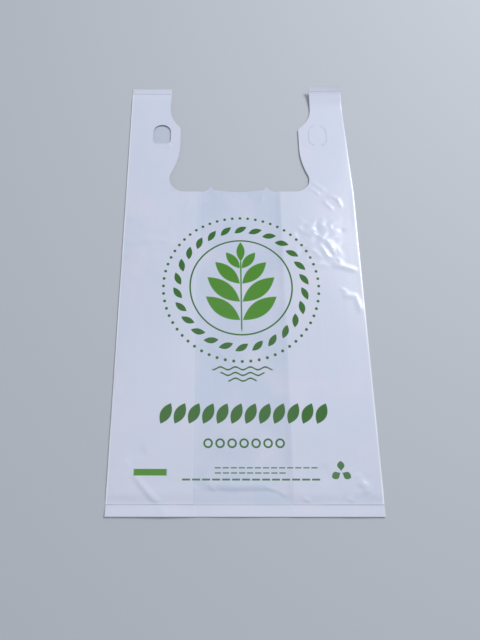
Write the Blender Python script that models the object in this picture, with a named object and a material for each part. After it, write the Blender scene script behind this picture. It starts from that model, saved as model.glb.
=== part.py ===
# Plastic carrier bag with two loop handles, lying flat on its back.
# It is one piece of film, and it is built in the order that the real one is made: a film tube
# with a gusset folded in at each side is welded across both ends, then a die cuts the mouth
# and the handles through every ply, and a punch makes the hanging hole in each handle.
# Metres, +Z up. The handles point to +Y, and the origin is under the middle of the bag.

from math import ceil, cos, pi, radians, sin, sqrt, tan

import bmesh
import bpy
from mathutils import Matrix, Vector

# The film tube
FACE_WIDTH = 0.292
BAG_LENGTH = 0.555
FILM_THICKNESS = 0.000057
LEFT_GUSSET_DEPTH = 0.0915
RIGHT_GUSSET_DEPTH = 0.0945
PLY_GAP = 0.0004
CROWN_HEIGHT = 0.0022
CENTRE_DIP = 0.3

# The welds, where all the plies are melted into one bead
HEM_SKIRT = 0.0117
HANDLE_SKIRT = 0.0075
WELD_WIDTH = 0.0012
WELD_PROUD = 0.00005
WELD_PLY_GAP = 0.00008
WELD_RELEASE = 0.012

# The mouth, cut down from the handles' tops. Between the handles its edge has two cusps,
# and it sags a little from one cusp to the other.
MOUTH_DEPTH = 0.1643
CUSP_HEIGHT = 0.0077
CUSP_OUTER_SLOPE = radians(50)
CUSP_OUTER_RADIUS = 0.012
CUSP_INNER_SLOPE = radians(60)
CUSP_INNER_RADIUS = 0.004
CUSP_FOOT_HEIGHT = 0.0026
SAG_DROP = 0.0016
SAG_RADIUS = 0.165

# A handle's inner edge: throat, lean to the waist, shoulder, neck and top
THROAT_RADIUS = 0.0193
THROAT_LEAN = radians(24)
WAIST_RADIUS = 0.105
SHOULDER_RADIUS = 0.006
NECK_RADIUS = 0.041

# Where the left and the right edge run, outwards from the centre line
LEFT_CUSP = 0.0374
LEFT_THROAT = 0.0912
LEFT_WAIST = 0.0783
LEFT_NECK = 0.0933
LEFT_TOP = 0.0916
LEFT_SHOULDER_HEIGHT = 0.0993
RIGHT_CUSP = 0.0338
RIGHT_THROAT = 0.0896
RIGHT_WAIST = 0.0795
RIGHT_NECK = 0.0975
RIGHT_TOP = 0.0966
RIGHT_SHOULDER_HEIGHT = 0.0968

# The hanging holes: arched at the top, with rounded corners below
HOLE_WIDTH = 0.0236
HOLE_HEIGHT = 0.0315
HOLE_CORNER_RADIUS = 0.0075
HOLE_ABOVE_MOUTH = 0.0724
LEFT_HOLE_CENTRE = 0.1031
RIGHT_HOLE_CENTRE = 0.1047
SLIT_WIDTH = 0.0012
SCORE_WIDTH = 0.0003
SCORE_NICK = 0.004

# How the right handle lies: it leans in a little, and its end curls up off the surface
HANDLE_LEAN = radians(2.2)
CURL_LENGTH = 0.040
CURL_RADIUS = 0.080

# How finely the round parts are divided
ARC_STEP = radians(14)
ARC_CHORD = 0.011
FOLD_STEPS = 4

CUT_MARGIN = 0.010

HALF_WIDTH = FACE_WIDTH / 2
LEFT_FOLD = LEFT_GUSSET_DEPTH - HALF_WIDTH
RIGHT_FOLD = HALF_WIDTH - RIGHT_GUSSET_DEPTH
MOUTH_LINE = BAG_LENGTH - MOUTH_DEPTH
HANDLE_WELD_LINE = BAG_LENGTH - HANDLE_SKIRT
CURL_START = BAG_LENGTH - CURL_LENGTH
HOLE_BOTTOM = MOUTH_LINE + HOLE_ABOVE_MOUTH


def smooth(value):
    value = min(max(value, 0.0), 1.0)
    return value * value * (3 - 2 * value)


def spread(start, end, spans):
    return [start + (end - start) * step / spans for step in range(spans + 1)]


def laid(x, along, z):
    """The place of a point of the flat bag once the bag lies on its surface."""
    on_right = min(max((x - LEFT_FOLD) / (RIGHT_FOLD - LEFT_FOLD), 0.0), 1.0)
    turn = max(along - CURL_START, 0.0) / CURL_RADIUS
    x -= on_right * tan(HANDLE_LEAN) * max(along - MOUTH_LINE, 0.0)
    y = along - on_right * CURL_RADIUS * (turn - sin(turn))
    z += on_right * CURL_RADIUS * (1 - cos(turn))
    return Vector((x, y - BAG_LENGTH / 2, z))


def ply_gap(along):
    """Air between two plies: almost none at a weld, more away from it."""
    to_weld = min(abs(along - HEM_SKIRT), abs(along - HANDLE_WELD_LINE))
    return WELD_PLY_GAP + (PLY_GAP - WELD_PLY_GAP) * smooth(to_weld / WELD_RELEASE)


def crown(x, along):
    """Lift of the front panel over the plies below it."""
    body = smooth((along - HEM_SKIRT) / 0.09)
    handle = 1 - 0.75 * smooth((along - MOUTH_LINE) / 0.09 + 1)
    end = smooth((HANDLE_WELD_LINE - along) / 0.03)
    across = 1 - (abs(x) / HALF_WIDTH) ** 3
    between = smooth((x - LEFT_FOLD) / 0.02) * smooth((RIGHT_FOLD - x) / 0.02)
    return CROWN_HEIGHT * body * handle * end * across * (1 - CENTRE_DIP * between)


def fold(x, z, radius, start, end):
    """A fold's round back from one ply to the next, without its last point."""
    angles = spread(start, end, FOLD_STEPS)[:-1]
    return [(x + radius * cos(angle), z + radius * sin(angle)) for angle in angles]


def folded_section(along):
    """Middle line of the film across the tube, as (x, z) points, once round."""
    pitch = FILM_THICKNESS + ply_gap(along)
    radius = pitch / 2
    back = FILM_THICKNESS / 2
    under, over, front = back + pitch, back + 2 * pitch, back + 3 * pitch
    side = HALF_WIDTH - FILM_THICKNESS / 2 - radius
    left = LEFT_FOLD - radius
    right = RIGHT_FOLD + radius

    def ply(start, end, spans, z):
        return [(x, z) for x in spread(start, end, spans)[:-1]]

    panel = spread(-side, left, 4)[:-1] + spread(left, right, 6)[:-1] + spread(right, side, 4)[:-1]
    return (
        [(x, front + crown(x, along)) for x in panel]
        + fold(side, (front + over) / 2, radius, pi / 2, -pi / 2)
        + ply(side, right, 4, over)
        + fold(right, (over + under) / 2, radius, pi / 2, 3 * pi / 2)
        + ply(right, side, 4, under)
        + fold(side, (under + back) / 2, radius, pi / 2, -pi / 2)
        + ply(side, right, 4, back)
        + ply(right, left, 2, back)
        + ply(left, -side, 4, back)
        + fold(-side, (back + under) / 2, radius, -pi / 2, -3 * pi / 2)
        + ply(-side, left, 4, under)
        + fold(left, (under + over) / 2, radius, -pi / 2, pi / 2)
        + ply(left, -side, 4, over)
        + fold(-side, (over + front) / 2, radius, -pi / 2, -3 * pi / 2)
    )


def tube_stations():
    """Distances from the bottom edge at which the tube's section is drawn."""
    hem = [HEM_SKIRT - WELD_WIDTH, HEM_SKIRT + WELD_WIDTH]
    release = HEM_SKIRT + WELD_RELEASE
    body = spread(release, MOUTH_LINE - 0.02, 6)
    handle = spread(MOUTH_LINE + 0.02, CURL_START, 3)
    curl = spread(CURL_START + 0.010, HANDLE_WELD_LINE - WELD_WIDTH, 3)
    return [0.0] + hem + body + handle + curl + [HANDLE_WELD_LINE + WELD_WIDTH, BAG_LENGTH]


def mesh_object(name, bm):
    mesh = bpy.data.meshes.new(name)
    bm.to_mesh(mesh)
    bm.free()
    item = bpy.data.objects.new(name, mesh)
    bpy.context.scene.collection.objects.link(item)
    return item


def film_tube():
    """The gusseted tube: a grid rolled up along the folded section, then given its gauge."""
    rows = tube_stations()
    sections = [folded_section(along) for along in rows]
    columns = len(sections[0])
    bm = bmesh.new()
    bmesh.ops.create_grid(bm, x_segments=columns, y_segments=len(rows) - 1, size=1)
    for vert in bm.verts:
        column = round((vert.co.x + 1) / 2 * columns) % columns
        row = round((vert.co.y + 1) / 2 * (len(rows) - 1))
        x, z = sections[row][column]
        vert.co = laid(x, rows[row], z)
    bmesh.ops.remove_doubles(bm, verts=bm.verts, dist=1e-6)
    # Triangles are flat, so the film's two faces bend alike and its gauge stays even
    bmesh.ops.triangulate(bm, faces=bm.faces)
    tube = mesh_object("carrier_bag", bm)
    gauge = tube.modifiers.new("film gauge", "SOLIDIFY")
    gauge.thickness = FILM_THICKNESS
    gauge.offset = 0
    gauge.use_even_offset = True
    return tube


def helper(name, bm):
    bmesh.ops.recalc_face_normals(bm, faces=bm.faces)
    item = mesh_object(name, bm)
    item.hide_render = True
    item.display_type = "WIRE"
    return item


def weld_bead(name, along, start, end):
    """A bar of melted film from the back ply to just above the front one."""
    top = 3 * (FILM_THICKNESS + WELD_PLY_GAP) + FILM_THICKNESS + WELD_PROUD
    bm = bmesh.new()
    bmesh.ops.create_cube(bm, size=2)
    for vert in bm.verts:
        x = start if vert.co.x < 0 else end
        v = along + vert.co.y * WELD_WIDTH / 2
        z = FILM_THICKNESS / 2 if vert.co.z < 0 else top
        vert.co = laid(x, v, z)
    return helper(name, bm)


def rounded_path(corners):
    """Points of a closed path whose corners, given as (x, y, radius), are rounded by arcs."""
    count = len(corners)
    places = [Vector(corner[:2]) for corner in corners]
    sides = [places[(index + 1) % count] - places[index] for index in range(count)]
    half_angles = [(-sides[index - 1]).angle(sides[index]) / 2 for index in range(count)]
    reaches = [corner[2] / tan(half) for corner, half in zip(corners, half_angles)]
    # Two arcs that would meet on one side share it
    fits = [min(1, 0.98 * side.length / max(reaches[index] + reaches[(index + 1) % count], 1e-9))
            for index, side in enumerate(sides)]
    points = []
    for index, corner in enumerate(places):
        reach = reaches[index] * min(fits[index - 1], fits[index])
        if reach == 0:
            points.append(corner)
            continue
        before = -sides[index - 1].normalized()
        after = sides[index].normalized()
        radius = reach * tan(half_angles[index])
        centre = corner + (before + after).normalized() * sqrt(reach ** 2 + radius ** 2)
        first = corner + before * reach - centre
        turn = first.angle_signed(corner + after * reach - centre)
        steps = max(2, ceil(abs(turn) / ARC_STEP), ceil(abs(turn) * radius / ARC_CHORD))
        for step in range(steps + 1):
            points.append(centre + Matrix.Rotation(-turn * step / steps, 2) @ first)
    return points


def handle_edge(side, throat, waist, neck, top, shoulder_height):
    """Corners of a handle's inner edge, from above its top down to the mouth's line."""
    foot = throat - THROAT_RADIUS + THROAT_RADIUS * tan(pi / 4 + THROAT_LEAN / 2)
    waist_height = (foot - waist) / tan(THROAT_LEAN)
    shoulder = MOUTH_LINE + shoulder_height
    neck_height = shoulder + neck - waist
    return [
        (side * top, BAG_LENGTH + CUT_MARGIN, 0),
        (side * neck, neck_height, NECK_RADIUS),
        (side * waist, shoulder, SHOULDER_RADIUS),
        (side * waist, MOUTH_LINE + waist_height, WAIST_RADIUS),
        (side * foot, MOUTH_LINE, THROAT_RADIUS),
    ]


def cusp_edge(side, cusp):
    """Corners of the mouth's edge from the flat beside a cusp to the foot inside it."""
    outer = cusp + CUSP_HEIGHT / tan(CUSP_OUTER_SLOPE)
    inner = cusp - (CUSP_HEIGHT - CUSP_FOOT_HEIGHT) / tan(CUSP_INNER_SLOPE)
    return [
        (side * outer, MOUTH_LINE, CUSP_OUTER_RADIUS),
        (side * cusp, MOUTH_LINE + CUSP_HEIGHT, 0),
        (side * inner, MOUTH_LINE + CUSP_FOOT_HEIGHT, CUSP_INNER_RADIUS),
    ]


def mouth_outline():
    left = handle_edge(-1, LEFT_THROAT, LEFT_WAIST, LEFT_NECK, LEFT_TOP, LEFT_SHOULDER_HEIGHT)
    left += cusp_edge(-1, LEFT_CUSP)
    right = handle_edge(
        1, RIGHT_THROAT, RIGHT_WAIST, RIGHT_NECK, RIGHT_TOP, RIGHT_SHOULDER_HEIGHT
    )
    right += cusp_edge(1, RIGHT_CUSP)
    sag = [((RIGHT_CUSP - LEFT_CUSP) / 2, MOUTH_LINE - SAG_DROP, SAG_RADIUS)]
    return rounded_path(left + sag + right[::-1])


def hole_outline(centre, grow=0.0):
    half = HOLE_WIDTH / 2 + grow
    bottom = HOLE_BOTTOM - grow
    top = HOLE_BOTTOM + HOLE_HEIGHT + grow
    corner = HOLE_CORNER_RADIUS + grow
    return rounded_path([
        (centre - half, bottom, corner),
        (centre + half, bottom, corner),
        (centre + half, top, half),
        (centre - half, top, half),
    ])


def slit_outline(centre):
    """The crescent between the hole's arch and the same arch slipped down."""
    radius = HOLE_WIDTH / 2
    height = HOLE_BOTTOM + HOLE_HEIGHT - radius
    angles = spread(radians(12), radians(168), 11)
    arch = [Vector((centre + radius * cos(a), height + radius * sin(a))) for a in angles]
    slipped = [point - Vector((0, SLIT_WIDTH * sin(pi * step / 11)))
               for step, point in enumerate(arch)]
    return arch + slipped[-2:0:-1]


def prism(name, outline, low, high):
    """A cutter: an outline of the flat bag, extruded from low to high."""
    bm = bmesh.new()
    corners = [bm.verts.new((point.x, point.y - BAG_LENGTH / 2, low)) for point in outline]
    base = bm.faces.new(corners)
    raised = bmesh.ops.extrude_face_region(bm, geom=[base])["geom"]
    verts = [item for item in raised if isinstance(item, bmesh.types.BMVert)]
    bmesh.ops.translate(bm, verts=verts, vec=(0, 0, high - low))
    return helper(name, bm)


def score_ring(name, centre, low, high):
    """A cutter along the hole's outline that leaves a nick of film at each side and end."""
    bm = bmesh.new()
    outer = hole_outline(centre, SCORE_WIDTH / 2)
    inner = hole_outline(centre, -SCORE_WIDTH / 2)
    middle = HOLE_BOTTOM + HOLE_HEIGHT / 2
    kept = []
    for index, point in enumerate(outer):
        following = outer[(index + 1) % len(outer)]
        halfway = (point + following) / 2
        at_end = abs(halfway.x - centre) < SCORE_NICK
        kept.append(not at_end)
    for index, keep in enumerate(kept):
        following = (index + 1) % len(outer)
        if not keep:
            continue
        ring = [outer[index], outer[following], inner[following], inner[index]]
        bm.faces.new([bm.verts.new((p.x, p.y - BAG_LENGTH / 2, low)) for p in ring])
    bmesh.ops.remove_doubles(bm, verts=bm.verts, dist=1e-7)
    raised = bmesh.ops.extrude_face_region(bm, geom=bm.faces[:])["geom"]
    verts = [item for item in raised if isinstance(item, bmesh.types.BMVert)]
    bmesh.ops.translate(bm, verts=verts, vec=(0, 0, high - low))
    return helper(name, bm)


def apply_boolean(item, tool, operation):
    step = item.modifiers.new(tool.name, "BOOLEAN")
    step.operation = operation
    step.solver = "EXACT"
    step.object = tool


def film_material():
    material = bpy.data.materials.new("white_polyethylene_film")
    material.use_nodes = True
    shader = material.node_tree.nodes["Principled BSDF"]
    shader.inputs["Base Color"].default_value = (0.70, 0.74, 0.84, 1)
    shader.inputs["Roughness"].default_value = 0.35
    shader.inputs["Metallic"].default_value = 0
    return material


def build_bag():
    bag = film_tube()
    bag.data.materials.append(film_material())

    # Welds: the hem across the whole width, and one on each handle's end
    side = HALF_WIDTH - FILM_THICKNESS / 2
    apply_boolean(bag, weld_bead("hem_weld", HEM_SKIRT, -side, side), "UNION")
    apply_boolean(
        bag, weld_bead("left_weld", HANDLE_WELD_LINE, -side, CUT_MARGIN - LEFT_TOP), "UNION"
    )
    apply_boolean(
        bag, weld_bead("right_weld", HANDLE_WELD_LINE, RIGHT_TOP - CUT_MARGIN, side), "UNION"
    )

    # The die cuts every ply
    apply_boolean(bag, prism("mouth_die", mouth_outline(), -CUT_MARGIN, 3 * CUT_MARGIN), "DIFFERENCE")

    # The left hole: three plies are punched out, and the back ply is slit along the arch
    between_plies = FILM_THICKNESS + PLY_GAP / 2
    hole = prism("left_punch", hole_outline(-LEFT_HOLE_CENTRE), between_plies, CUT_MARGIN)
    apply_boolean(bag, hole, "DIFFERENCE")
    slit = prism("left_slit", slit_outline(-LEFT_HOLE_CENTRE), -CUT_MARGIN, between_plies)
    apply_boolean(bag, slit, "DIFFERENCE")

    # The right hole: its plug of film is still in place, scored round in the front ply
    above_gusset = 3 * (FILM_THICKNESS + PLY_GAP) - PLY_GAP / 2
    score = score_ring("right_score", RIGHT_HOLE_CENTRE, above_gusset, CUT_MARGIN)
    apply_boolean(bag, score, "DIFFERENCE")


for leftover in list(bpy.data.objects):
    bpy.data.objects.remove(leftover)
build_bag()
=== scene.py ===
# Looks of the plastic carrier bag: one folded, welded and die-cut piece of white film with a
# green print, lying flat on its back.
from math import ceil, cos, exp, hypot, pi, radians, sin, sqrt, tan

import bmesh
import bpy
from mathutils import Matrix, Vector, noise


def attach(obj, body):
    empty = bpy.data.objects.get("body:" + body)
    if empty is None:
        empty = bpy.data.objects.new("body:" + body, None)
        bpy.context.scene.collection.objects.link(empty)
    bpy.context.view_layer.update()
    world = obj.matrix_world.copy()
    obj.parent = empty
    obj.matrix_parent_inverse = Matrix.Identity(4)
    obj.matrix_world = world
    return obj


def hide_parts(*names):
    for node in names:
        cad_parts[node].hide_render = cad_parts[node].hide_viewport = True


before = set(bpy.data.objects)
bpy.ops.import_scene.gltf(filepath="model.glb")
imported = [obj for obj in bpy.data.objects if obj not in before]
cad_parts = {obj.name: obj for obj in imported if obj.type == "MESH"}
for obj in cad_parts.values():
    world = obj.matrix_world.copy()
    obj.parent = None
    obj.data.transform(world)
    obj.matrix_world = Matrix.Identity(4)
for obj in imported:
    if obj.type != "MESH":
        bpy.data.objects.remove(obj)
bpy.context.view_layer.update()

print("frame loaded")

mm = 0.001

# The film tube. Sizes are in millimetres; x runs from the bag's centre line to its right side,
# "along" runs up from its bottom edge
tube = {
    "faceWidth": 292.0,
    "length": 555.0,
    "gauge": 0.057,
    "leftGusset": 91.5,
    "rightGusset": 94.5,
    "plyGap": 0.4,
    "crown": 2.2,
    "crownRise": 90.0,           # length over which the crown rises from the hem's weld
    "handleLoss": 0.75,          # share of the crown that is missing in the handles
    "handleRise": 30.0,
    "centreDip": 0.3,
    "centreEdge": 20.0,
    "columns": (42, 48, 42),     # across the front: left of the gussets' folds, between, right
    "hiddenColumns": 6,          # across each ply that lies flat; the front's are multiples of it
    "foldSteps": 6,
    "rowSpacing": 2.6,
    "hemRowSpacing": 1.6,
    "hemRows": 36.0,             # height of the closer rows over the hem's weld
    "sharpFrom": radians(50),
}

# The welds through all plies
weld = {
    "hemSkirt": 11.7,
    "handleSkirt": 7.5,
    "width": 1.2,
    "proud": 0.05,
    "plyGap": 0.08,
    "release": 12.0,
    "beadStep": 6.0,
}

# The die that cuts the mouth and the handles
mouth = {
    "depth": 164.3,
    "cuspHeight": 7.7,
    "cuspOuterSlope": radians(50),
    "cuspOuterRadius": 12.0,
    "cuspInnerSlope": radians(60),
    "cuspInnerRadius": 4.0,
    "cuspFootHeight": 2.6,
    "sagDrop": 1.6,
    "sagRadius": 165.0,
    "throatRadius": 19.3,
    "throatLean": radians(24),
    "waistRadius": 105.0,
    "shoulderRadius": 6.0,
    "neckRadius": 41.0,
    "left": {"cusp": 37.4, "throat": 91.2, "waist": 78.3, "neck": 93.3, "top": 91.6, "shoulder": 99.3},
    "right": {"cusp": 33.8, "throat": 89.6, "waist": 79.5, "neck": 97.5, "top": 96.6, "shoulder": 96.8},
    "arcStep": radians(5),
    "arcChord": 4.0,
    "sideShare": 0.98,           # two arcs on one side take at most this much of it
    "margin": 10.0,
}

# The hanging holes
hole = {
    "width": 23.6,
    "height": 31.5,
    "cornerRadius": 7.5,
    "aboveMouth": 72.4,
    "leftCentre": 103.1,
    "rightCentre": 104.7,
    "slitWidth": 1.2,
    "slitSpan": (radians(12), radians(168)),
    "slitSteps": 24,
    "scoreWidth": 0.3,
    "scoreNick": 4.0,
}

# How the bag lies
rest = {
    "handleLean": radians(2.2),
    "curlLength": 40.0,
    "curlRadius": 80.0,
    "innerCurlShare": 0.74,      # the curled handle's inner corner stands lower than its outer one
    # how high the bottom edge stands at each third of a gusset, from the left side to the right
    "hemLifts": [0.3, 0.5, 1.0, 0.1, 0.7, 0.0, 0.1, 0.6, 0.2],
    "hemLiftReach": 16.0,
}

halfWidth = tube["faceWidth"] / 2
leftFold = tube["leftGusset"] - halfWidth
rightFold = halfWidth - tube["rightGusset"]
mouthLine = tube["length"] - mouth["depth"]
handleWeldLine = tube["length"] - weld["handleSkirt"]
curlStart = tube["length"] - rest["curlLength"]
holeBottom = mouthLine + hole["aboveMouth"]

# Creases of the front panel: points, half width and height (below zero for a valley)
creases = [
    # stress lines and loops by the right throat
    ([(92.2, 406.2), (110.4, 391.6)], 1.6, 0.55),
    ([(88.4, 397.6), (102.8, 385.5)], 1.6, 0.5),
    ([(111.0, 383.0), (117.1, 384.1), (124.6, 380.2), (128.8, 366.8)], 2.0, 0.6),
    ([(106.0, 379.0), (110.9, 371.2), (118.3, 363.8)], 2.0, 0.55),
    # crumple right of the emblem
    ([(99.1, 349.1), (100.3, 328.8)], 2.2, 0.55),
    ([(87.9, 334.5), (103.5, 320.3)], 2.6, 0.8),
    ([(105.1, 323.1), (116.0, 299.3)], 2.0, 0.7),
    ([(98.2, 314.6), (107.1, 296.4)], 2.2, 0.7),
    ([(111.2, 320.3), (114.2, 309.0)], 2.0, 0.4),
    ([(74.1, 314.5), (94.9, 301.9)], 1.8, 0.4),
    ([(70.9, 351.8), (79.7, 346.1)], 2.2, 0.3),
    ([(78.9, 331.5), (90.0, 326.0)], 2.0, 0.35),
    ([(126.3, 338.0), (126.3, 331.0)], 3.0, -0.35),
    # folds that run out to the right edge
    ([(109.8, 284.0), (117.5, 286.8), (142.0, 280.1)], 2.6, 0.8),
    ([(118.2, 296.4), (122.6, 288.2)], 2.0, 0.4),
    ([(82.7, 288.1), (109.9, 285.3)], 2.4, 0.3),
    ([(117.7, 255.8), (128.3, 250.5)], 2.0, 0.35),
    ([(119.4, 246.6), (140.2, 246.6)], 2.2, 0.6),
    ([(137.1, 244.0), (141.1, 226.0)], 3.0, 0.7),
    # upper left
    ([(-142.1, 350.1), (-113.2, 356.9)], 4.0, 0.5),
    ([(-144.8, 317.6), (-101.3, 320.3), (-78.2, 316.5)], 4.0, 0.6),
    ([(-141.3, 297.3), (-118.8, 302.4)], 4.5, 0.5),
    ([(-72.4, 359.7), (-60.9, 381.3)], 3.0, 0.3),
    # by the left throat, the left hole and the handles' ends
    ([(-90.0, 399.0), (-80.0, 391.5)], 2.0, 0.45),
    ([(-113.0, 460.6), (-93.0, 460.6)], 1.6, 0.35),
    ([(-95.5, 464.0), (-89.5, 458.0)], 1.8, 0.6),
    ([(-119.0, 549.5), (-112.0, 553.5)], 1.6, 0.35),
    ([(-109.5, 550.0), (-104.0, 552.5)], 1.6, 0.3),
    ([(-138.0, 535.7), (-98.0, 535.7)], 1.4, 0.15),
    ([(104.0, 541.7), (138.0, 541.7)], 1.4, 0.15),
    # under the mouth
    ([(26.5, 373.5), (29.3, 387.1)], 2.2, 0.45),
    ([(-39.7, 392.4), (-27.7, 388.2)], 2.4, 0.4),
    # below the emblem
    ([(-40.6, 184.2), (-27.8, 177.5), (-2.6, 153.6)], 2.0, 0.45),
    ([(66.3, 144.8), (62.0, 63.4)], 2.0, 0.2),
    # above the hem
    ([(-125.1, 53.9), (-118.0, 62.0), (-106.1, 67.5)], 6.0, -0.5),
    ([(-118.6, 44.1), (-110.2, 32.8), (-81.7, 3.0)], 3.6, 0.8),
    ([(-46.0, 33.0), (-10.0, 31.0), (32.0, 32.0)], 4.5, 0.9),
    ([(-38.7, 33.8), (-28.0, 20.4)], 2.2, 0.35),
    ([(-16.0, 21.0), (-4.0, 14.0)], 2.0, 0.3),
    ([(19.1, 31.1), (44.2, 20.8)], 2.6, 0.6),
    ([(-54.0, 30.0), (-47.0, 20.0)], 2.2, 0.5),
    ([(61.5, 18.1), (70.8, 13.0)], 2.2, 0.6),
    ([(106.7, 18.5), (117.2, 13.0)], 2.2, 0.5),
    ([(120.0, 44.0), (130.3, 22.5)], 4.5, 1.1),
    ([(83.3, 53.8), (89.7, 32.9)], 5.0, -0.5),
]

# The front panel's waves and crumples are patches of noise: height, size of the waves across and
# along, layer of the noise, then the patch across and along as its start, end and soft edge
panelWaves = [
    (0.35, (55, 70), 1.3, None, None),
    (0.10, (45, 7), 4.1, (-75, 75, 30), (150, 330, 60)),
    (0.07, (5, 110), 7.7, (50, 142, 20), (60, 260, 60)),
    (0.30, (16, 9), 2.6, (-142, -60, 30), (262, 352, 30)),
    (0.22, (14, 10), 6.4, None, (14, 60, 24)),
]
panelCrumples = [
    (0.9, (13, 15), 9.2, (68, 122, 16), (290, 350, 22)),
    (0.6, (12, 13), 5.3, (98, 138, 10), (10, 48, 14)),
]
panelRelief = {
    "ridgeLevel": 0.5,           # a crumple's sharp crests are where its noise is near zero
    "ridgeSlope": 1.6,
    "twoPlyDrop": 0.55,          # between the gussets' folds there are only two plies
    "twoPlyInset": 0.5,
    "twoPlyEdges": (4.0, 7.0),
    "hemDip": 0.9,               # the panel comes down to a crease a little above the hem's weld
    "hemDipAcross": (-50, 38, 12),
    "hemDipAlong": (13, 25, 6),
    "sideFade": 7.0,
    "weldFade": 5.0,
    "sink": (0.6, 1.8),          # how far it may sink, in ply gaps: over the gussets, between them
    "sinkInset": 1.0,
    "sinkEdge": 6.0,
}


def smooth(value):
    value = min(max(value, 0.0), 1.0)
    return value * value * (3 - 2 * value)


def spread(start, end, spans):
    return [start + (end - start) * step / spans for step in range(spans + 1)]


def hemLift(x):
    middle = (leftFold + rightFold) / 2
    stations = spread(-halfWidth, leftFold, 3) + [middle] + spread(rightFold, halfWidth, 3)
    for low, high, start, end in zip(stations, stations[1:], rest["hemLifts"], rest["hemLifts"][1:]):
        if x <= high:
            break
    return start + (end - start) * (x - low) / (high - low)


def laid(x, along, z):   # the place of a point of the flat bag once the bag lies on its surface
    onRight = min(max((x - leftFold) / (rightFold - leftFold), 0.0), 1.0)
    turn = max(along - curlStart, 0.0) / rest["curlRadius"]
    inward = (halfWidth - x) / (halfWidth - mouth["right"]["top"])
    curlShare = 1 - (1 - rest["innerCurlShare"]) * inward
    z += hemLift(x) * (1 - smooth(along / rest["hemLiftReach"]))
    x -= onRight * tan(rest["handleLean"]) * max(along - mouthLine, 0.0)
    y = along - onRight * rest["curlRadius"] * (turn - sin(turn))
    z += onRight * curlShare * rest["curlRadius"] * (1 - cos(turn))
    return Vector((x, y - tube["length"] / 2, z)) * mm


def plyGap(along):   # air between two plies: almost none at a weld, more away from it
    toWeld = min(abs(along - weld["hemSkirt"]), abs(along - handleWeldLine))
    return weld["plyGap"] + (tube["plyGap"] - weld["plyGap"]) * smooth(toWeld / weld["release"])


def crown(x, along):
    body = smooth((along - weld["hemSkirt"]) / tube["crownRise"])
    handle = 1 - tube["handleLoss"] * smooth((along - mouthLine) / tube["crownRise"] + 1)
    end = smooth((handleWeldLine - along) / tube["handleRise"])
    across = 1 - (abs(x) / halfWidth) ** 3
    between = smooth((x - leftFold) / tube["centreEdge"]) * smooth((rightFold - x) / tube["centreEdge"])
    return tube["crown"] * body * handle * end * across * (1 - tube["centreDip"] * between)


def creaseLift(x, along):
    lift = 0.0
    for points, width, height in creases:
        reach = 3 * width
        if not min(p[0] for p in points) - reach < x < max(p[0] for p in points) + reach:
            continue
        if not min(p[1] for p in points) - reach < along < max(p[1] for p in points) + reach:
            continue
        lengths = [hypot(b[0] - a[0], b[1] - a[1]) for a, b in zip(points, points[1:])]
        best, share, passed = reach, 0.0, 0.0
        for start, end, length in zip(points, points[1:], lengths):
            runX, runY = end[0] - start[0], end[1] - start[1]
            fromX, fromY = x - start[0], along - start[1]
            step = min(max((fromX * runX + fromY * runY) / length ** 2, 0.0), 1.0)
            away = hypot(fromX - step * runX, fromY - step * runY)
            if away < best:
                best, share = away, (passed + step * length) / sum(lengths)
            passed += length
        lift += height * exp(-(best / width) ** 2) * (1 - (2 * share - 1) ** 4)   # none at its ends
    return lift


def window(value, low, high, edge):   # 1 between low and high, falling to 0 over edge
    return smooth((value - low) / edge + 0.5) * smooth((high - value) / edge + 0.5)


def noisePatch(x, along, patch):   # a patch's height here, and its noise
    height, (width, length), layer, acrossLimits, alongLimits = patch
    height *= window(x, *acrossLimits) if acrossLimits else 1
    height *= window(along, *alongLimits) if alongLimits else 1
    return height, noise.noise((x / width, along / length, layer))


def relief(x, along):   # how far the front panel strays from its crown, and how low it may lie
    values = panelRelief
    lift = 0.0
    for patch in panelWaves:
        height, wave = noisePatch(x, along, patch)
        lift += height * wave
    for patch in panelCrumples:
        height, wave = noisePatch(x, along, patch)
        lift += height * (values["ridgeLevel"] - values["ridgeSlope"] * abs(wave))
    lift += creaseLift(x, along)
    inset, (leftEdge, rightEdge) = values["twoPlyInset"], values["twoPlyEdges"]
    twoPlies = smooth((x - leftFold - inset) / leftEdge) * smooth((rightFold - inset - x) / rightEdge)
    lift -= values["twoPlyDrop"] * twoPlies
    lift -= values["hemDip"] * window(x, *values["hemDipAcross"]) * window(along, *values["hemDipAlong"])
    lift *= smooth((halfWidth - abs(x)) / values["sideFade"])
    lift *= smooth(abs(along - weld["hemSkirt"]) / values["weldFade"])
    lift *= smooth(abs(along - handleWeldLine) / values["weldFade"])
    inset, edge = values["sinkInset"], values["sinkEdge"]
    centre = smooth((x - leftFold - inset) / edge) * smooth((rightFold - inset - x) / edge)
    overGussets, between = values["sink"]
    return lift, -(overGussets + (between - overGussets) * centre) * plyGap(along)


def frontLift(x, along):
    lift, lowest = relief(x, along)
    return max(crown(x, along) + lift, lowest)


def fold(x, z, radius, start, end):   # a fold's round back, without its last point
    angles = spread(start, end, tube["foldSteps"])[:-1]
    return [(x + radius * cos(angle), z + radius * sin(angle)) for angle in angles]


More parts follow.
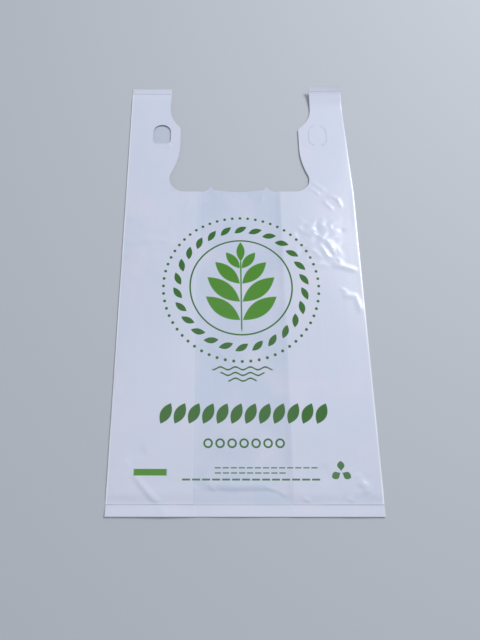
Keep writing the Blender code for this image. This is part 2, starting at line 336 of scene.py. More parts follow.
def foldedSection(along):   # middle line of the film across the tube, once round
    pitch = tube["gauge"] + plyGap(along)
    radius = pitch / 2
    back = tube["gauge"] / 2
    under, over, front = back + pitch, back + 2 * pitch, back + 3 * pitch
    side = halfWidth - tube["gauge"] / 2 - radius
    left = leftFold - radius
    right = rightFold + radius
    few = tube["hiddenColumns"]

    def ply(start, end, spans, z):
        return [(x, z) for x in spread(start, end, spans)[:-1]]

    a, b, c = tube["columns"]
    panel = spread(-side, left, a)[:-1] + spread(left, right, b)[:-1] + spread(right, side, c)[:-1]
    frontPanel = [(x, front + frontLift(x, along)) for x in panel]
    return (
        frontPanel
        + fold(side, (front + over) / 2, radius, pi / 2, -pi / 2)
        + ply(side, right, few, over)
        + fold(right, (over + under) / 2, radius, pi / 2, 3 * pi / 2)
        + ply(right, side, few, under)
        + fold(side, (under + back) / 2, radius, pi / 2, -pi / 2)
        + ply(side, right, few, back)
        + ply(right, left, 2, back)
        + ply(left, -side, few, back)
        + fold(-side, (back + under) / 2, radius, -pi / 2, -3 * pi / 2)
        + ply(-side, left, few, under)
        + fold(left, (under + over) / 2, radius, -pi / 2, pi / 2)
        + ply(left, -side, few, over)
        + fold(-side, (over + front) / 2, radius, -pi / 2, -3 * pi / 2)
    )


def tubeStations():
    def evenly(start, end, spacing):
        return spread(start, end, max(1, ceil((end - start) / spacing)))

    hem, half = weld["hemSkirt"], weld["width"]
    coarse, fine = tube["rowSpacing"], tube["hemRowSpacing"]
    closeEnd = hem + tube["hemRows"]
    litSkirt = evenly(0.0, hem - half, 2 * fine)
    nearHem = evenly(hem + half, closeEnd, fine)
    body = evenly(closeEnd, curlStart, coarse)[1:]
    curl = evenly(curlStart, handleWeldLine - half, coarse)[1:]
    return litSkirt + nearHem + body + curl + evenly(handleWeldLine + half, tube["length"], 2 * fine)


def meshObject(name, bm):
    mesh = bpy.data.meshes.new(name)
    bm.to_mesh(mesh)
    bm.free()
    item = bpy.data.objects.new(name, mesh)
    bpy.context.scene.collection.objects.link(item)
    return item


def makeTube():
    rows = tubeStations()
    sections = [foldedSection(along) for along in rows]
    columns = len(sections[0])
    bm = bmesh.new()
    bmesh.ops.create_grid(bm, x_segments=columns, y_segments=len(rows) - 1, size=1)
    printedColumns = sum(tube["columns"])
    for face in bm.faces:
        column = int((face.calc_center_median().x + 1) / 2 * columns)
        face.material_index = 1 if column < printedColumns else 0
    for vert in bm.verts:
        column = round((vert.co.x + 1) / 2 * columns) % columns
        row = round((vert.co.y + 1) / 2 * (len(rows) - 1))
        x, z = sections[row][column]
        vert.co = laid(x, rows[row], z)
    bmesh.ops.remove_doubles(bm, verts=bm.verts, dist=1e-6)
    bmesh.ops.triangulate(bm, faces=bm.faces)   # flat triangles keep the film's gauge even
    film = meshObject("bag_film", bm)
    gauge = film.modifiers.new("film gauge", "SOLIDIFY")
    gauge.thickness = tube["gauge"] * mm
    gauge.offset = 0
    gauge.use_even_offset = True
    gauge.material_offset = -1   # the ink is on the outer face alone
    gauge.material_offset_rim = -1
    return film


def weldBead(name, along, start, end):   # a bar of melted film through all plies
    top = 3 * (tube["gauge"] + weld["plyGap"]) + tube["gauge"] + weld["proud"]
    steps = max(2, ceil((end - start) / weld["beadStep"]))
    bm = bmesh.new()
    bmesh.ops.create_cube(bm, size=2)
    for step in range(1, steps):
        cut = -1 + 2 * step / steps
        geometry = bm.verts[:] + bm.edges[:] + bm.faces[:]
        bmesh.ops.bisect_plane(bm, geom=geometry, plane_co=(cut, 0, 0), plane_no=(1, 0, 0))
    for vert in bm.verts:
        x = start + (end - start) * (vert.co.x + 1) / 2
        z = tube["gauge"] / 2 if vert.co.z < 0 else top
        vert.co = laid(x, along + vert.co.y * weld["width"] / 2, z)
    bmesh.ops.recalc_face_normals(bm, faces=bm.faces)
    return meshObject(name, bm)


def roundedPath(corners):   # a closed path whose corners, (x, y, radius), are rounded by arcs
    count = len(corners)
    places = [Vector(corner[:2]) for corner in corners]
    sides = [places[(index + 1) % count] - places[index] for index in range(count)]
    halfAngles = [(-sides[index - 1]).angle(sides[index]) / 2 for index in range(count)]
    reaches = [corner[2] / tan(half) for corner, half in zip(corners, halfAngles)]
    needs = [max(reaches[index] + reaches[(index + 1) % count], 1e-6) for index in range(count)]
    fits = [min(1, mouth["sideShare"] * side.length / need) for side, need in zip(sides, needs)]
    points = []
    for index, corner in enumerate(places):
        reach = reaches[index] * min(fits[index - 1], fits[index])
        if reach == 0:
            points.append(corner)
            continue
        before = -sides[index - 1].normalized()
        after = sides[index].normalized()
        radius = reach * tan(halfAngles[index])
        centre = corner + (before + after).normalized() * sqrt(reach ** 2 + radius ** 2)
        first = corner + before * reach - centre
        turn = first.angle_signed(corner + after * reach - centre)
        steps = max(2, ceil(abs(turn) / mouth["arcStep"]), ceil(abs(turn) * radius / mouth["arcChord"]))
        for step in range(steps + 1):
            points.append(centre + Matrix.Rotation(-turn * step / steps, 2) @ first)
    return points


def handleEdge(side, edge):   # corners of a handle's inner edge, from its top to the mouth's line
    lean = mouth["throatLean"]
    foot = edge["throat"] - mouth["throatRadius"] + mouth["throatRadius"] * tan(pi / 4 + lean / 2)
    shoulder = mouthLine + edge["shoulder"]
    return [
        (side * edge["top"], tube["length"] + mouth["margin"], 0),
        (side * edge["neck"], shoulder + edge["neck"] - edge["waist"], mouth["neckRadius"]),
        (side * edge["waist"], shoulder, mouth["shoulderRadius"]),
        (side * edge["waist"], mouthLine + (foot - edge["waist"]) / tan(lean), mouth["waistRadius"]),
        (side * foot, mouthLine, mouth["throatRadius"]),
    ]


def cuspEdge(side, cusp):   # corners of the mouth's edge round one cusp
    outer = cusp + mouth["cuspHeight"] / tan(mouth["cuspOuterSlope"])
    inner = cusp - (mouth["cuspHeight"] - mouth["cuspFootHeight"]) / tan(mouth["cuspInnerSlope"])
    return [
        (side * outer, mouthLine, mouth["cuspOuterRadius"]),
        (side * cusp, mouthLine + mouth["cuspHeight"], 0),
        (side * inner, mouthLine + mouth["cuspFootHeight"], mouth["cuspInnerRadius"]),
    ]


def mouthOutline():
    left, right = mouth["left"], mouth["right"]
    sag = [((right["cusp"] - left["cusp"]) / 2, mouthLine - mouth["sagDrop"], mouth["sagRadius"])]
    leftEdge = handleEdge(-1, left) + cuspEdge(-1, left["cusp"])
    rightEdge = handleEdge(1, right) + cuspEdge(1, right["cusp"])
    return roundedPath(leftEdge + sag + rightEdge[::-1])


def holeOutline(centre, grow=0.0):
    half = hole["width"] / 2 + grow
    bottom, top = holeBottom - grow, holeBottom + hole["height"] + grow
    corner = hole["cornerRadius"] + grow
    return roundedPath([
        (centre - half, bottom, corner),
        (centre + half, bottom, corner),
        (centre + half, top, half),
        (centre - half, top, half),
    ])


def slitOutline(centre):   # a crescent between the hole's arch and the same arch slipped down
    radius = hole["width"] / 2
    height = holeBottom + hole["height"] - radius
    steps = hole["slitSteps"]
    angles = spread(*hole["slitSpan"], steps)
    arch = [Vector((centre + radius * cos(a), height + radius * sin(a))) for a in angles]
    slips = [hole["slitWidth"] * sin(pi * step / steps) for step in range(steps + 1)]
    slipped = [point - Vector((0, slip)) for point, slip in zip(arch, slips)]
    return arch + slipped[-2:0:-1]


def prism(name, outlines, low, high):   # a cutter: outlines of the flat bag, extruded
    bm = bmesh.new()
    for outline in outlines:
        bm.faces.new([bm.verts.new(Vector((p.x, p.y - tube["length"] / 2, low)) * mm) for p in outline])
    bmesh.ops.remove_doubles(bm, verts=bm.verts, dist=1e-7)
    raised = bmesh.ops.extrude_face_region(bm, geom=bm.faces[:])["geom"]
    verts = [item for item in raised if isinstance(item, bmesh.types.BMVert)]
    bmesh.ops.translate(bm, verts=verts, vec=(0, 0, (high - low) * mm))
    bmesh.ops.recalc_face_normals(bm, faces=bm.faces)
    return meshObject(name, bm)


def scoreOutlines(centre):   # the hole's outline as a thin band, with a nick of film at each end
    outer = holeOutline(centre, hole["scoreWidth"] / 2)
    inner = holeOutline(centre, -hole["scoreWidth"] / 2)
    count = min(len(outer), len(inner))
    pieces = []
    for index in range(count):
        following = (index + 1) % count
        if abs((outer[index].x + outer[following].x) / 2 - centre) >= hole["scoreNick"]:
            pieces.append([outer[index], outer[following], inner[following], inner[index]])
    return pieces


def cutBag(film):
    side = halfWidth - tube["gauge"] / 2
    betweenPlies = tube["gauge"] + tube["plyGap"] / 2
    aboveGusset = 3 * (tube["gauge"] + tube["plyGap"]) - tube["plyGap"] / 2
    deep = mouth["margin"]
    tools = [
        (weldBead("hem_weld", weld["hemSkirt"], -side, side), "UNION"),
        (weldBead("left_weld", handleWeldLine, -side, deep - mouth["left"]["top"]), "UNION"),
        (weldBead("right_weld", handleWeldLine, mouth["right"]["top"] - deep, side), "UNION"),
        (prism("mouth_die", [mouthOutline()], -deep, 3 * deep), "DIFFERENCE"),
        (prism("left_punch", [holeOutline(-hole["leftCentre"])], betweenPlies, deep), "DIFFERENCE"),
        (prism("left_slit", [slitOutline(-hole["leftCentre"])], -deep, betweenPlies), "DIFFERENCE"),
        (prism("right_score", scoreOutlines(hole["rightCentre"]), aboveGusset, deep), "DIFFERENCE"),
    ]
    for tool, operation in tools:
        cut = film.modifiers.new(tool.name, "BOOLEAN")
        cut.operation = operation
        cut.solver = "EXACT"
        cut.object = tool
    evaluated = film.evaluated_get(bpy.context.evaluated_depsgraph_get())
    finished = bpy.data.meshes.new_from_object(evaluated)
    film.modifiers.clear()
    film.data = finished
    for tool, _ in tools:
        bpy.data.objects.remove(tool)
    finished.shade_smooth()
    finished.set_sharp_from_angle(angle=tube["sharpFrom"])


def linear(hexText):   # an sRGB hex colour as linear RGBA
    channels = [int(hexText[i:i + 2], 16) / 255 for i in (1, 3, 5)]
    return tuple(c / 12.92 if c <= 0.04045 else ((c + 0.055) / 1.055) ** 2.4 for c in channels) + (1,)


def addNode(tree, kind, settings=None, links=None):   # settings name a property or a socket
    node = tree.nodes.new(kind)
    for key, value in (settings or {}).items():
        if isinstance(key, str) and hasattr(node, key):
            setattr(node, key, value)
        else:
            node.inputs[key].default_value = value
    for key, source in (links or {}).items():
        tree.links.new(source, node.inputs[key])
    return node


# The print on the front panel, in millimetres from the bag's centre line and its middle
inkPrint = {
    "fill": "#4a8c22",
    "line": "#366d2a",
    "faded": "#4f7c49",
    "emblem": (-0.6, -18.9),
    "ringRadius": 61.0,
    "ringWidth": 1.9,
    # pairs of leaves: height of the foot over the emblem's centre, angle, length, width
    "leafPairs": [
        (-44.0, 36, 50.0, 19.0), (-21.0, 39, 50.0, 19.0), (2.0, 44, 41.0, 16.0), (22.0, 52, 27.0, 11.0)],
    "leafGap": 2.0,                      # from the stem's middle to a leaf's foot
    "tipLeaf": (46.0, 26.0, 10.0),       # height of its middle, length, width
    "stem": (-56.0, 34.0, 1.8),          # foot, top, width
    "wreath": (26, 76.5, 30, 17.5, 7.4),       # leaves, radius, angle, length, width
    "dots": (60, 93.0, 1.8),                   # dots, radius, dot radius
    "waves": [(-101.0, 34.0), (-107.5, 25.0), (-114.0, 16.0)],   # height, half length
    "waveRise": 1.6,
    "wavePitch": 17.0,
    "waveWidth": 1.9,
    "leafRow": (12, 15.6, -171.0, 64, 25.0, 12.0),   # leaves, pitch, height, angle, length, width
    "ringRow": (7, 13.0, -203.0, 4.2, 2.0),          # rings, pitch, height, radius, width
    # fine dashes: how many, pitch, middle of the row, height, length, thickness
    "dashRows": [(13, 8.6, (23.0, -228.6), 6.6, 1.3), (9, 8.6, (6.0, -233.9), 6.6, 1.3),
                 (14, 10.6, (6.8, -240.6), 8.6, 2.0)],
    "bar": ((-100.4, -233.2), 35.2, 6.8),
    "trefoil": ((103.0, -233.0), 3, 6.0, 11.0, 7.0),   # place, leaves, radius, length, width
    "edge": 0.05,                # softness of the ink's edge, as a share of a shape's half width
}


def leafShape(tree, place, centre, angle, length, width):   # below 1 inside a pointed leaf
    local = addNode(tree, "ShaderNodeMapping", {
        "vector_type": "TEXTURE", "Location": (*centre, 0), "Rotation": (0, 0, radians(angle)),
        "Scale": (length / 2, width / 2, 1)}, {"Vector": place}).outputs[0]
    axes = addNode(tree, "ShaderNodeSeparateXYZ", {}, {0: local})
    squared = addNode(tree, "ShaderNodeMath", {"operation": "MULTIPLY"},
                      {0: axes.outputs[0], 1: axes.outputs[0]}).outputs[0]
    away = addNode(tree, "ShaderNodeMath", {"operation": "ABSOLUTE"}, {0: axes.outputs[1]}).outputs[0]
    return addNode(tree, "ShaderNodeMath", {"operation": "ADD"}, {0: squared, 1: away}).outputs[0]


def barShape(tree, place, centre, length, width):   # below 1 inside a rectangle
    local = addNode(tree, "ShaderNodeMapping", {
        "vector_type": "TEXTURE", "Location": (*centre, 0), "Scale": (length / 2, width / 2, 1)},
        {"Vector": place}).outputs[0]
    positive = addNode(tree, "ShaderNodeVectorMath", {"operation": "ABSOLUTE"}, {0: local}).outputs[0]
    axes = addNode(tree, "ShaderNodeSeparateXYZ", {}, {0: positive})
    return addNode(tree, "ShaderNodeMath", {"operation": "MAXIMUM"},
                   {0: axes.outputs[0], 1: axes.outputs[1]}).outputs[0]


def flatDistance(tree, place, centre):   # coordinates and distance from a centre, whatever the height
    local = addNode(tree, "ShaderNodeMapping", {
        "vector_type": "TEXTURE", "Location": (*centre, 0)}, {"Vector": place}).outputs[0]
    flat = addNode(tree, "ShaderNodeVectorMath", {"operation": "MULTIPLY", 1: (1, 1, 0)},
                   {0: local}).outputs[0]
    return local, addNode(tree, "ShaderNodeVectorMath", {"operation": "LENGTH"}, {0: flat}).outputs["Value"]


def ringShape(tree, place, centre, radius, width):   # below 1 on a ring's line
    distance = flatDistance(tree, place, centre)[1]
    off = addNode(tree, "ShaderNodeMath", {"operation": "SUBTRACT", 1: radius}, {0: distance}).outputs[0]
    off = addNode(tree, "ShaderNodeMath", {"operation": "ABSOLUTE"}, {0: off}).outputs[0]
    return addNode(tree, "ShaderNodeMath", {"operation": "DIVIDE", 1: width / 2}, {0: off}).outputs[0]


def roundArray(tree, place, centre, count, radius):   # coordinates round the nearest place on a circle
    local, distance = flatDistance(tree, place, centre)
    axes = addNode(tree, "ShaderNodeSeparateXYZ", {}, {0: local})
    angle = addNode(tree, "ShaderNodeMath", {"operation": "ARCTAN2"},
                    {0: axes.outputs[1], 1: axes.outputs[0]}).outputs[0]
    steps = addNode(tree, "ShaderNodeMath", {
        "operation": "MULTIPLY_ADD", 1: count / (2 * pi), 2: -count / 4}, {0: angle}).outputs[0]
    nearest = addNode(tree, "ShaderNodeMath", {"operation": "ROUND"}, {0: steps}).outputs[0]
    part = addNode(tree, "ShaderNodeMath", {"operation": "SUBTRACT"}, {0: nearest, 1: steps}).outputs[0]
    along = addNode(tree, "ShaderNodeMath", {"operation": "MULTIPLY", 1: 2 * pi * radius / count},
                    {0: part}).outputs[0]
    outward = addNode(tree, "ShaderNodeMath", {"operation": "SUBTRACT", 1: radius}, {0: distance}).outputs[0]
    return addNode(tree, "ShaderNodeCombineXYZ", {}, {0: along, 1: outward}).outputs[0]


def rowArray(tree, place, centre, count, pitch):   # coordinates round the nearest place in a row
    local = addNode(tree, "ShaderNodeMapping", {
        "vector_type": "TEXTURE", "Location": (*centre, 0)}, {"Vector": place}).outputs[0]
    axes = addNode(tree, "ShaderNodeSeparateXYZ", {}, {0: local})
    steps = addNode(tree, "ShaderNodeMath", {"operation": "MULTIPLY_ADD", 1: 1 / pitch, 2: (count - 1) / 2},
                    {0: axes.outputs[0]}).outputs[0]
    nearest = addNode(tree, "ShaderNodeMath", {"operation": "ROUND"}, {0: steps}).outputs[0]
    nearest = addNode(tree, "ShaderNodeClamp", {"Min": 0, "Max": count - 1}, {0: nearest}).outputs[0]
    part = addNode(tree, "ShaderNodeMath", {"operation": "SUBTRACT"}, {0: steps, 1: nearest}).outputs[0]
    along = addNode(tree, "ShaderNodeMath", {"operation": "MULTIPLY", 1: pitch}, {0: part}).outputs[0]
    return addNode(tree, "ShaderNodeCombineXYZ", {}, {0: along, 1: axes.outputs[1]}).outputs[0]


def nearestOf(tree, shapes):
    nearest = shapes[0]
    for shape in shapes[1:]:
        nearest = addNode(tree, "ShaderNodeMath", {"operation": "MINIMUM"}, {0: nearest, 1: shape}).outputs[0]
    return nearest


def inked(tree, shapes):   # 1 where any of the shapes is printed
    edge = inkPrint["edge"]
    return addNode(tree, "ShaderNodeMapRange", {"From Min": 1 + edge, "From Max": 1 - edge},
                   {0: nearestOf(tree, shapes)}).outputs[0]


def emblemLeaves(tree, place):   # a sprig in the ring: the same leaves on both sides of its stem
    x, y = inkPrint["emblem"]
    local = addNode(tree, "ShaderNodeMapping", {
        "vector_type": "TEXTURE", "Location": (x, y, 0)}, {"Vector": place}).outputs[0]
    axes = addNode(tree, "ShaderNodeSeparateXYZ", {}, {0: local})
    away = addNode(tree, "ShaderNodeMath", {"operation": "ABSOLUTE"}, {0: axes.outputs[0]}).outputs[0]
    mirrored = addNode(tree, "ShaderNodeCombineXYZ", {}, {0: away, 1: axes.outputs[1]}).outputs[0]
    shapes = []
    for foot, angle, length, width in inkPrint["leafPairs"]:
        reach = length / 2 + inkPrint["leafGap"]
        centre = (reach * cos(radians(angle)), foot + reach * sin(radians(angle)))
        shapes.append(leafShape(tree, mirrored, centre, angle, length, width))
    height, length, width = inkPrint["tipLeaf"]
    shapes.append(leafShape(tree, mirrored, (0, height), 90, length, width))
    foot, top, width = inkPrint["stem"]
    shapes.append(barShape(tree, mirrored, (0, (foot + top) / 2), width, top - foot))
    return shapes


def waveShapes(tree, place):
    axes = addNode(tree, "ShaderNodeSeparateXYZ", {}, {0: place})
    turn = addNode(tree, "ShaderNodeMath", {"operation": "MULTIPLY", 1: 2 * pi / inkPrint["wavePitch"]},
                   {0: axes.outputs[0]}).outputs[0]
    rise = addNode(tree, "ShaderNodeMath", {"operation": "COSINE"}, {0: turn}).outputs[0]
    level = addNode(tree, "ShaderNodeMath", {"operation": "MULTIPLY_ADD", 1: inkPrint["waveRise"]},
                    {0: rise, 2: axes.outputs[1]}).outputs[0]
    straight = addNode(tree, "ShaderNodeCombineXYZ", {}, {0: axes.outputs[0], 1: level}).outputs[0]
    x, y = inkPrint["emblem"]
    return [barShape(tree, straight, (x, y + height), 2 * half, inkPrint["waveWidth"])
            for height, half in inkPrint["waves"]]


def printShapes(tree, place):   # the ink's three shades: bold shapes, lines and fine dashes
    emblem = inkPrint["emblem"]
    count, radius, angle, length, width = inkPrint["wreath"]
    spots = roundArray(tree, place, emblem, count, radius)
    wreath = leafShape(tree, spots, (0, 0), angle, length, width)
    count, radius, dot = inkPrint["dots"]
    dots = ringShape(tree, roundArray(tree, place, emblem, count, radius), (0, 0), 0, 2 * dot)
    ring = ringShape(tree, place, emblem, inkPrint["ringRadius"], inkPrint["ringWidth"])
    count, pitch, height, angle, length, width = inkPrint["leafRow"]
    spots = rowArray(tree, place, (0, height), count, pitch)
    leafRow = leafShape(tree, spots, (0, 0), angle, length, width)
    count, pitch, height, radius, width = inkPrint["ringRow"]
    ringRow = ringShape(tree, rowArray(tree, place, (0, height), count, pitch), (0, 0), radius, width)
    centre, count, radius, length, width = inkPrint["trefoil"]
    spots = roundArray(tree, place, centre, count, radius)
    trefoil = leafShape(tree, spots, (0, 0), 90, length, width)
    dashes = [barShape(tree, rowArray(tree, place, centre, count, pitch), (0, 0), length, width)
              for count, pitch, centre, length, width in inkPrint["dashRows"]]
    bold = inked(tree, emblemLeaves(tree, place) + [barShape(tree, place, *inkPrint["bar"])])
    lines = inked(tree, [wreath, dots, ring, leafRow, ringRow] + waveShapes(tree, place))
    fine = inked(tree, dashes + [trefoil])
    return [("fill", bold), ("line", lines), ("faded", fine)]


# LDPE film, blown as a tube: white but thin, so that it shows bluish and darker where only two
# plies lie over each other, paler along folds and cut edges, with a soft gloss
filmLooks = {
    "fourPlies": "#d2d9ea",
    "warmCloud": "#d8d8e8",
    "twoPlies": "#c8d1e4",
    "onePly": "#c0c9d8",
    "edge": "#eef1fa",
    # painted light: the strips beyond the welds, a shade paler than the two plies between the gussets
    "litSkirt": "#d4dae9",
    "weldLine": "#8e96a8",
    "zoneBlur": 0.8,             # mm, how softly a zone ends
    "edgeBand": 1.5,             # mm, along the outer folds
    "weldLineWidth": 0.5,
    "crimpPitch": 2.7,           # mm, between the crimps where the weld joins only two plies
    "crimpBlur": 0.4,
    "holeLitBand": 4.0,              # mm, height of a paler band painted over the ply behind the hole, along its bottom: painted light
    "holeMargin": 5.0,
    "holeRoundness": 3.2,        # power of the rounded shape seen through the hole
    "holeShape": (1.15, 1.05),   # where that shape ends and where it is full, just outside the hole
    "mottleSize": 55.0,          # mm, clouds in the film
    "mottle": 0.03,
    "cloudRange": (0.45, 0.75),  # the mottle's values where a warm cloud starts and is full
    "cloudShare": 0.8,
    "streakSize": (3.0, 260.0),  # mm, lines drawn along the tube as it was blown
    "streak": 0.012,
    "roughness": 0.26,
    "ior": 1.51,
    "rippleSize": (26.0, 2.6),   # mm, fine ripples across the bag
    "rippleHeight": 0.03,
    "crinkleSize": 6.0,
    "crinkleHeight": 0.05,
}


def bandMask(tree, value, low, high, blur):   # 1 where a value lies between low and high
    rise = addNode(tree, "ShaderNodeMapRange", {
        "interpolation_type": "SMOOTHSTEP", "From Min": low - blur / 2, "From Max": low + blur / 2},
        {0: value}).outputs[0]
    drop = addNode(tree, "ShaderNodeMapRange", {
        "interpolation_type": "SMOOTHSTEP", "From Min": high + blur / 2, "From Max": high - blur / 2},
        {0: value}).outputs[0]
    return addNode(tree, "ShaderNodeMath", {"operation": "MULTIPLY"}, {0: rise, 1: drop}).outputs[0]


def blended(tree, below, colour, share):   # a colour laid over what is below it
    mix = addNode(tree, "ShaderNodeMix", {"data_type": "RGBA"})
    tree.links.new(share, mix.inputs[0])
    tree.links.new(below, mix.inputs[6])
    mix.inputs[7].default_value = linear(colour)
    return mix.outputs[2]


def filmColour(tree, place):
    looks = filmLooks
    axes = addNode(tree, "ShaderNodeSeparateXYZ", {}, {0: place})
    x, y = axes.outputs[0], axes.outputs[1]
    blur = looks["zoneBlur"]
    top = tube["length"] / 2
    hemLine, handleLine = weld["hemSkirt"] - top, top - weld["handleSkirt"]
    between = bandMask(tree, x, leftFold, rightFold, blur)
    colour = addNode(tree, "ShaderNodeRGB")
    colour.outputs[0].default_value = linear(looks["fourPlies"])
    colour = blended(tree, colour.outputs[0], looks["twoPlies"], between)
    away = addNode(tree, "ShaderNodeMath", {"operation": "ABSOLUTE"}, {0: x}).outputs[0]
    outerFolds = bandMask(tree, away, halfWidth - looks["edgeBand"], 2 * halfWidth, blur)
    colour = blended(tree, colour, looks["edge"], outerFolds)
    # painted light: the strips beyond the hem's and the handles' welds take one pale shade
    for low, high in ((-2 * top, hemLine), (handleLine, 2 * top)):
        colour = blended(tree, colour, looks["litSkirt"], bandMask(tree, y, low, high, blur))
    # a weld shows as a thin dark line, broken up by its crimps between the gussets
    halfPitch = looks["crimpPitch"] / 2
    crimps = addNode(tree, "ShaderNodeMath", {"operation": "PINGPONG", 1: halfPitch}, {0: x}).outputs[0]
    crimps = bandMask(tree, crimps, -halfPitch, halfPitch / 2, looks["crimpBlur"])
    solid = addNode(tree, "ShaderNodeMath", {"operation": "SUBTRACT", 0: 1.0}, {1: between}).outputs[0]
    unbroken = addNode(tree, "ShaderNodeMath", {"operation": "MAXIMUM"}, {0: crimps, 1: solid}).outputs[0]
    half = looks["weldLineWidth"] / 2
    for height in (hemLine, handleLine):
        line = bandMask(tree, y, height - half, height + half, half)
        line = addNode(tree, "ShaderNodeMath", {"operation": "MULTIPLY"}, {0: line, 1: unbroken}).outputs[0]
        colour = blended(tree, colour, looks["weldLine"], line)
    mottle = addNode(tree, "ShaderNodeTexNoise", {"Scale": 1 / looks["mottleSize"], "Detail": 3.0},
                     {"Vector": place}).outputs[0]
    start, full = looks["cloudRange"]
    clouds = addNode(tree, "ShaderNodeMapRange", {
        "From Min": start, "From Max": full, "To Max": looks["cloudShare"]}, {0: mottle}).outputs[0]
    colour = blended(tree, colour, looks["warmCloud"], clouds)
    width, length = looks["streakSize"]
    drawn = addNode(tree, "ShaderNodeMapping", {"Scale": (1 / width, 1 / length, 0)},
                    {"Vector": place}).outputs[0]
    streak = addNode(tree, "ShaderNodeTexNoise", {"Scale": 1.0, "Detail": 2.0}, {"Vector": drawn}).outputs[0]
    darkest = 1 - looks["mottle"] - looks["streak"]
    shade = addNode(tree, "ShaderNodeMath", {
        "operation": "MULTIPLY_ADD", 1: 2 * looks["mottle"], 2: darkest}, {0: mottle}).outputs[0]
    shade = addNode(tree, "ShaderNodeMath", {"operation": "MULTIPLY_ADD", 1: 2 * looks["streak"]},
                    {0: streak, 2: shade}).outputs[0]
    return addNode(tree, "ShaderNodeVectorMath", {"operation": "SCALE"}, {0: colour, "Scale": shade}).outputs[0]


def behindHole(tree, place, colour):   # the one ply left behind the left hole, and painted light: a paler band along the hole's bottom
    looks = filmLooks
    bottom = holeBottom - tube["length"] / 2
    local = addNode(tree, "ShaderNodeMapping", {
        "vector_type": "TEXTURE", "Location": (-hole["leftCentre"], bottom + hole["height"] / 2, 0),
        "Scale": (hole["width"] / 2, hole["height"] / 2, 1)}, {"Vector": place}).outputs[0]
    away = addNode(tree, "ShaderNodeVectorMath", {"operation": "ABSOLUTE"}, {0: local}).outputs[0]
    axes = addNode(tree, "ShaderNodeSeparateXYZ", {}, {0: away})
    powers = [addNode(tree, "ShaderNodeMath", {"operation": "POWER", 1: looks["holeRoundness"]},
                      {0: axes.outputs[axis]}).outputs[0] for axis in (0, 1)]
    edge = addNode(tree, "ShaderNodeMath", {"operation": "ADD"}, {0: powers[0], 1: powers[1]}).outputs[0]
    end, full = looks["holeShape"]
    inside = addNode(tree, "ShaderNodeMapRange", {"From Min": end, "From Max": full}, {0: edge}).outputs[0]
    colour = blended(tree, colour, looks["onePly"], inside)
    height = addNode(tree, "ShaderNodeSeparateXYZ", {}, {0: place}).outputs[1]
    # painted light: a paler band in the two-ply shade, laid over the ply behind the hole along the hole's
    # bottom
    litBand = bandMask(tree, height, bottom - looks["holeMargin"], bottom + looks["holeLitBand"], looks["zoneBlur"])
    litBand = addNode(tree, "ShaderNodeMath", {"operation": "MULTIPLY"}, {0: litBand, 1: inside}).outputs[0]
    return blended(tree, colour, looks["twoPlies"], litBand)


def filmBump(tree, place):
    looks = filmLooks
    length, width = looks["rippleSize"]
    across = addNode(tree, "ShaderNodeMapping", {"Scale": (1 / length, 1 / width, 0)},
                     {"Vector": place}).outputs[0]
    ripple = addNode(tree, "ShaderNodeTexNoise", {"Scale": 1.0, "Detail": 2.0}, {"Vector": across}).outputs[0]
    crinkle = addNode(tree, "ShaderNodeTexNoise", {"Scale": 1 / looks["crinkleSize"], "Detail": 3.0},
                      {"Vector": place}).outputs[0]
    ripples = addNode(tree, "ShaderNodeBump", {"Distance": looks["rippleHeight"] * mm},
                      {"Height": ripple}).outputs[0]
    return addNode(tree, "ShaderNodeBump", {"Distance": looks["crinkleHeight"] * mm},
                   {"Height": crinkle, "Normal": ripples}).outputs[0]


def filmMaterial(name, printed):
    material = bpy.data.materials.new(name)
    material.use_nodes = True
    tree = material.node_tree
    shader = tree.nodes["Principled BSDF"]
    shader.inputs["Roughness"].default_value = filmLooks["roughness"]
    shader.inputs["IOR"].default_value = filmLooks["ior"]
    coordinates = addNode(tree, "ShaderNodeTexCoord")
    place = addNode(tree, "ShaderNodeVectorMath", {"operation": "SCALE", "Scale": 1 / mm},
                    {0: coordinates.outputs["Object"]}).outputs[0]   # in millimetres
    colour = filmColour(tree, place)
    if printed:
        for shade, mask in printShapes(tree, place):
            colour = blended(tree, colour, inkPrint[shade], mask)
    else:
        colour = behindHole(tree, place, colour)
    tree.links.new(colour, shader.inputs["Base Color"])
    tree.links.new(filmBump(tree, place), shader.inputs["Normal"])
    return material


film = makeTube()
film.data.materials.append(filmMaterial("LDPE film", printed=False))
film.data.materials.append(filmMaterial("LDPE film with flexo ink", printed=True))
print("film tube folded, its materials made")
cutBag(film)
print("film welded and cut:", len(film.data.polygons), "faces")

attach(film, "root")
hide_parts("carrier_bag")

# Plain floor, soft light and the photograph's camera
stage = {
    "floorSize": 6.0,
    "floorDrop": 0.0001,
    "floorColour": "#bcc1c8",
    "floorRoughness": 0.75,
    "worldColour": "#dfe4ee",
    "worldStrength": 0.42,
}

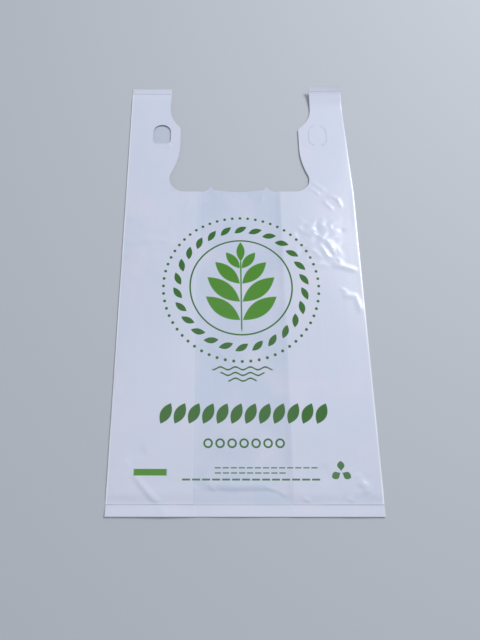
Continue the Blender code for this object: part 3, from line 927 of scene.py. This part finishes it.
bm = bmesh.new()
bmesh.ops.create_grid(bm, x_segments=1, y_segments=1, size=stage["floorSize"] / 2)
bmesh.ops.translate(bm, verts=bm.verts, vec=(0, 0, -stage["floorDrop"]))
floor = meshObject("floor", bm)
floorMaterial = bpy.data.materials.new("matt table top")
floorMaterial.use_nodes = True
floorShader = floorMaterial.node_tree.nodes["Principled BSDF"]
floorShader.inputs["Base Color"].default_value = linear(stage["floorColour"])
floorShader.inputs["Roughness"].default_value = stage["floorRoughness"]
floor.data.materials.append(floorMaterial)

lamps = [
    # name, place, aimed at, size, watts
    ("window light", (1.52, 1.36, 1.84), (0.0, 0.0, 0.0), 0.9, 50.0),
    ("ceiling light", (-0.2, -0.1, 1.9), (0.0, 0.0, 0.0), 1.4, 6.0),
]
for name, place, target, size, watts in lamps:
    data = bpy.data.lights.new(name, "AREA")
    data.size = size
    data.energy = watts
    lamp = bpy.data.objects.new(name, data)
    lamp.location = place
    lamp.rotation_euler = (Vector(target) - Vector(place)).to_track_quat("-Z", "Y").to_euler()
    bpy.context.scene.collection.objects.link(lamp)

world = bpy.data.worlds.new("soft room")
world.use_nodes = True
background = world.node_tree.nodes["Background"]
background.inputs["Color"].default_value = linear(stage["worldColour"])
background.inputs["Strength"].default_value = stage["worldStrength"]
bpy.context.scene.world = world

view = {
    "place": (-0.03156, -0.26295, 0.57742),
    "azimuth": radians(-0.57),
    "elevation": radians(70.72),
    "roll": radians(0.64),
    "lens": 29.25,
    "shiftX": 0.0361,
}
toCamera = Vector((sin(view["azimuth"]) * cos(view["elevation"]),
                   -cos(view["azimuth"]) * cos(view["elevation"]), sin(view["elevation"])))
across = Vector((cos(view["azimuth"]), sin(view["azimuth"]), 0))
upward = toCamera.cross(across)
right = cos(view["roll"]) * across + sin(view["roll"]) * upward
up = toCamera.cross(right)
cameraData = bpy.data.cameras.new("camera")
cameraData.lens = view["lens"]
cameraData.shift_x = view["shiftX"]
camera = bpy.data.objects.new("camera", cameraData)
camera.matrix_world = Matrix((right, up, toCamera)).transposed().to_4x4()
camera.location = view["place"]
bpy.context.scene.collection.objects.link(camera)
bpy.context.scene.camera = camera
bpy.context.scene.view_settings.view_transform = "Standard"
print("stage, light and camera set")
